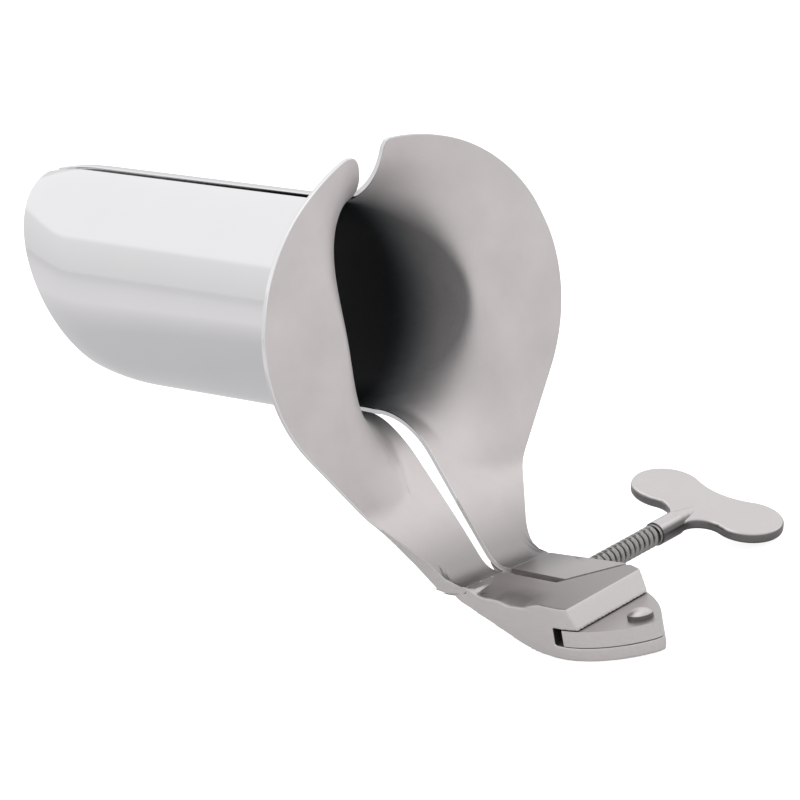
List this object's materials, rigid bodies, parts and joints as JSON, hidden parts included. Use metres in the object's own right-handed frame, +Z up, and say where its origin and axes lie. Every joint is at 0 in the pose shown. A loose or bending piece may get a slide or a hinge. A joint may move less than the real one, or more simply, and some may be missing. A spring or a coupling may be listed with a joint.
{
  "type": "anal speculum",
  "caption": "Two-bladed anal speculum: oval half-tube blades with flared mouths, hinged on a rivet under the mouth and spread by a thumb screw.",
  "frame": {"origin": "on the pivot rivet's axis, in the flat underside of the joint", "axes": "-X along the closed blades towards their ends, +Y from the near half to the half that carries the thumb screw, +Z up from the joint's underside to the mouth"},
  "size_m": [0.1468, 0.0832, 0.081],
  "materials": {
    "blade_steel": "polished",
    "joint_steel": "satin",
    "rivet_steel": "satin",
    "screw_steel": "satin"
  },
  "bodies": {
    "near_half": {"near_blade": "blade_steel", "near_joint_block": "joint_steel", "pivot_rivet": "rivet_steel"},
    "far_half": {"far_blade": "blade_steel", "far_joint_block": "joint_steel"},
    "spindle": {"threaded_spindle": "screw_steel"},
    "wing": {"thumb_wing": "screw_steel"}
  },
  "joints": [
    {"name": "blade_spread", "type": "hinge", "parent": "near_half", "child": "far_half", "pos_m": [0, 0, 0.0037], "axis": [0, 0, -1], "range_deg": [0, 20]},
    {"name": "screw_advance", "type": "slide", "parent": "far_half", "child": "spindle", "axis": [0.1994, -0.9799, 0], "range_m": [0, 0.00822]},
    {"name": "wing_turn", "type": "hinge", "parent": "spindle", "child": "wing", "pos_m": [-0.0235, 0, 0.0057], "axis": [0.1994, -0.9799, 0], "range_deg": [0, 2224]}
  ],
  "couplings": [
    {"joint": "blade_spread", "follows": "wing_turn", "ratio": 0.008991},
    {"joint": "screw_advance", "follows": "wing_turn", "m_per_rad": 0.00021168}
  ]
}
